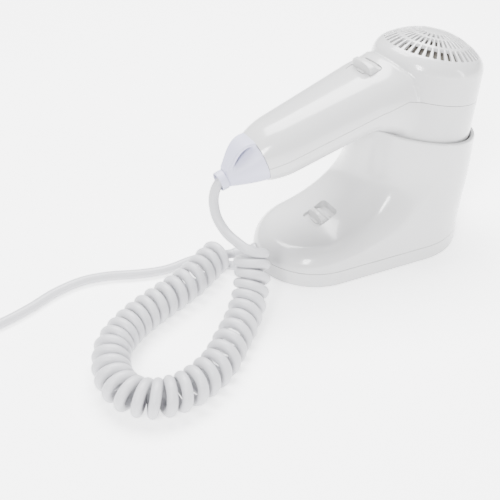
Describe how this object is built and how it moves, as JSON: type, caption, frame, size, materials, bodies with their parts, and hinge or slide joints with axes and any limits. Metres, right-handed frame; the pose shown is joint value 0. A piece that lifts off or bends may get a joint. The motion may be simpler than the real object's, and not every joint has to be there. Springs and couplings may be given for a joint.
{
  "type": "hair dryer",
  "caption": "White hair dryer resting grille-up in a wall holder with a cup and foot, thumb sliders on both, a curly cord between them and a mains lead.",
  "frame": {"origin": "on the wall face of the holder's plate, straight below the centre of the cup rim", "axes": "+Z out of the wall toward the intake grille, -X toward the toe of the holder and the end of the handle, Y across"},
  "size_m": [0.5112, 0.1552, 0.1517],
  "materials": {
    "shell_white": "glossy",
    "plate_white": "glossy",
    "cap_lilac": "satin",
    "slider_white": "satin",
    "cord_white": "satin",
    "dark_plastic": "matte",
    "inner_white": "matte",
    "steel": "satin",
    "nickel": "polished",
    "brass": "satin",
    "mica": "matte",
    "board_green": "matte",
    "pad_rubber": "matte",
    "screen_mesh": "matte"
  },
  "bodies": {
    "holder": {"wall_plate": "plate_white", "holder_shell": "shell_white", "cup_floor": "inner_white", "rest_pad": "pad_rubber", "holder_switch": "dark_plastic", "terminal_block": "inner_white", "cord_bushes": "cord_white", "shell_screws": "steel", "curly_cord": "cord_white", "curl_tail": "cord_white", "mains_lead": "cord_white", "stored_coil": "cord_white", "cord_tie": "dark_plastic", "plug_relief": "cord_white", "plug_body": "cord_white", "plug_pins": "nickel"},
    "handset": {"handset_lower": "shell_white", "handset_upper": "shell_white", "intake_grille": "shell_white", "lint_screen": "screen_mesh", "end_cap": "cap_lilac", "cord_collar": "cap_lilac", "cord_clamp": "dark_plastic", "handset_switch": "dark_plastic", "rectifier_board": "board_green", "diodes": "dark_plastic", "handset_wires": "dark_plastic", "handset_screws": "steel", "motor_holder": "dark_plastic", "motor": "steel", "mica_sleeve": "mica", "mica_cross": "mica", "heater_coils": "steel", "thermostat": "brass", "thermal_fuse": "steel", "outlet_grille": "dark_plastic", "hang_cord": "cord_white"},
    "fan": {"motor_shaft": "steel", "fan_impeller": "inner_white"},
    "handset_slider": {"handset_knob": "slider_white"},
    "holder_slider": {"holder_knob": "slider_white"}
  },
  "joints": [
    {"name": "handset_lift", "type": "slide", "parent": "holder", "child": "handset", "axis": [0.2011, 0, 0.9796], "range_m": [0, 0.055]},
    {"name": "fan_spin", "type": "hinge", "parent": "handset", "child": "fan", "pos_m": [0, 0, 0.089], "axis": [0.2011, 0, 0.9796], "continuous": true},
    {"name": "handset_slide", "type": "slide", "parent": "handset", "child": "handset_slider", "axis": [0.9573, 0, 0.289], "range_m": [-0.005, 0]},
    {"name": "holder_slide", "type": "slide", "parent": "holder", "child": "holder_slider", "axis": [0.9806, 0, 0.1961], "range_m": [-0.0025, 0.0025]}
  ]
}
